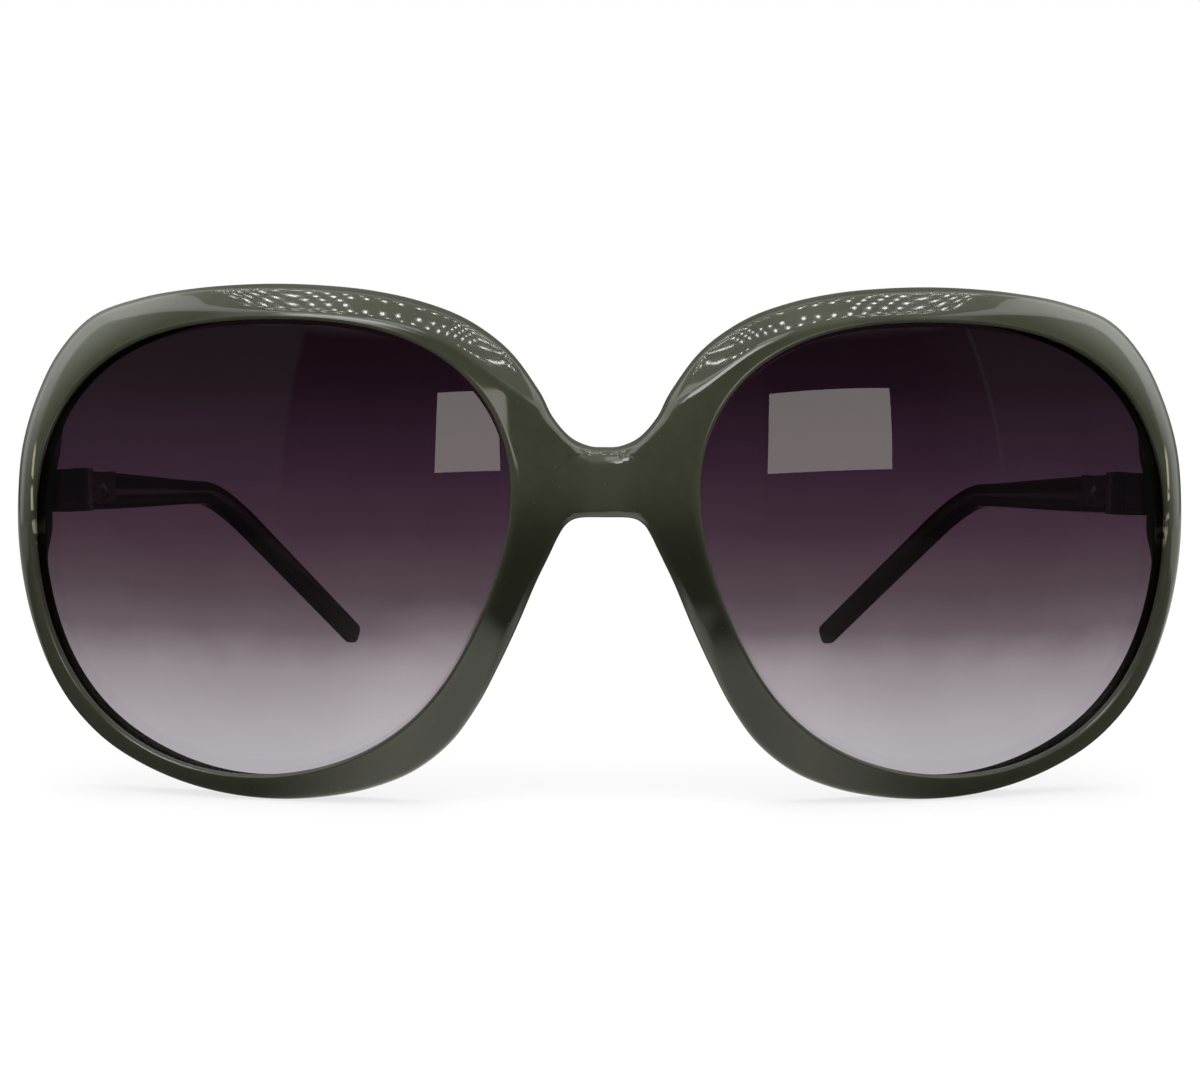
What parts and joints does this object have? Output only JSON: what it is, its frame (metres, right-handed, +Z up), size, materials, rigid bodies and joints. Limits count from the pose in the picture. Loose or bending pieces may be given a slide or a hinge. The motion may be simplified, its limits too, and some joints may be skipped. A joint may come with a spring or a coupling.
{
  "type": "sunglasses",
  "caption": "Oversized rounded sunglasses with a glossy olive plastic front, gradient tinted lenses, an arched bridge and folding temples on riveted barrel hinges.",
  "frame": {"origin": "middle of the bounding box in plan, on the surface that the open sunglasses stand on", "axes": "+Z up, lenses facing -Y, open temples running back along +Y, wearer's left on +X"},
  "size_m": [0.149, 0.1516, 0.0637],
  "materials": {
    "frame_plastic": "polished, slightly translucent olive green",
    "lens_tint": "polished plastic lens, plum brown at the top fading to pale grey at the bottom",
    "hinge_metal": "plain nickel silver, polished"
  },
  "bodies": {
    "front": {"front_frame": "frame_plastic", "right_lens": "lens_tint", "left_lens": "lens_tint", "right_front_hinge": "hinge_metal", "left_front_hinge": "hinge_metal", "right_hinge_screw": "hinge_metal", "left_hinge_screw": "hinge_metal"},
    "right_arm": {"right_temple": "frame_plastic", "right_temple_hinge": "hinge_metal", "right_temple_rivet": "hinge_metal"},
    "left_arm": {"left_temple": "frame_plastic", "left_temple_hinge": "hinge_metal", "left_temple_rivet": "hinge_metal"}
  },
  "joints": [
    {"name": "right_temple_fold", "type": "hinge", "parent": "front", "child": "right_arm", "pos_m": [-0.06784, -0.05409, 0.03766], "axis": [0, 0, -1], "range_deg": [0, 77]},
    {"name": "left_temple_fold", "type": "hinge", "parent": "front", "child": "left_arm", "pos_m": [0.06784, -0.05409, 0.03766], "axis": [0, 0, 1], "range_deg": [0, 84]}
  ]
}
